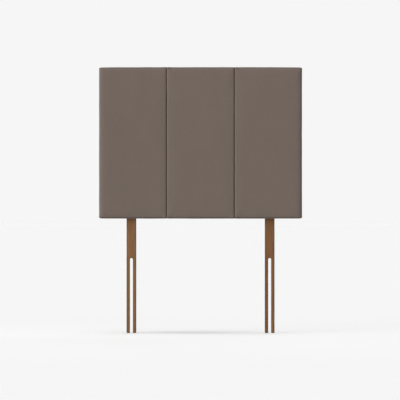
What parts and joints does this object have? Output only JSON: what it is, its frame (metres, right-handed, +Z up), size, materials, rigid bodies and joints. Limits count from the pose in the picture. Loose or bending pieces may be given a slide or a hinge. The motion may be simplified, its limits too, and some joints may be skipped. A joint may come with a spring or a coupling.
{
  "type": "headboard",
  "caption": "Rectangular padded headboard in vertical channels, on wooden struts with slots that are open at the foot.",
  "frame": {"origin": "on the floor, midway across the width and midway through the depth from the padded front to the bolt heads", "axes": "+Z up along the struts, +Y to the back, away from the mattress, and +X to the right as seen from the bed's foot"},
  "size_m": [0.92, 0.0866, 1.205],
  "materials": {
    "cover_fabric": "matte",
    "stained_wood": "satin",
    "softwood": "matte",
    "hardboard": "matte",
    "foam": "matte",
    "wadding": "matte",
    "tack_card": "matte",
    "dust_cloth": "matte",
    "zinc_steel": "satin",
    "staple_wire": "satin"
  },
  "bodies": {
    "root": {"cover_centre": "cover_fabric", "cover_left": "cover_fabric", "cover_right": "cover_fabric", "cover_staples": "staple_wire", "dust_cover": "dust_cloth", "dust_cover_staples": "staple_wire", "face_board": "hardboard", "face_board_staples": "staple_wire", "foam_centre": "foam", "foam_left": "foam", "foam_right": "foam", "frame_bottom_rail": "softwood", "frame_left_stile": "softwood", "frame_right_stile": "softwood", "frame_screws": "zinc_steel", "frame_top_rail": "softwood", "seam_stile_left": "softwood", "seam_stile_right": "softwood", "strut_bolts": "zinc_steel", "strut_left": "stained_wood", "strut_right": "stained_wood", "strut_stile_left": "softwood", "strut_stile_right": "softwood", "strut_washers": "zinc_steel", "tack_strip_left": "tack_card", "tack_strip_right": "tack_card", "tack_strip_staples": "staple_wire", "tee_nuts": "zinc_steel", "wadding_centre": "wadding", "wadding_left": "wadding", "wadding_right": "wadding"}
  },
  "joints": []
}
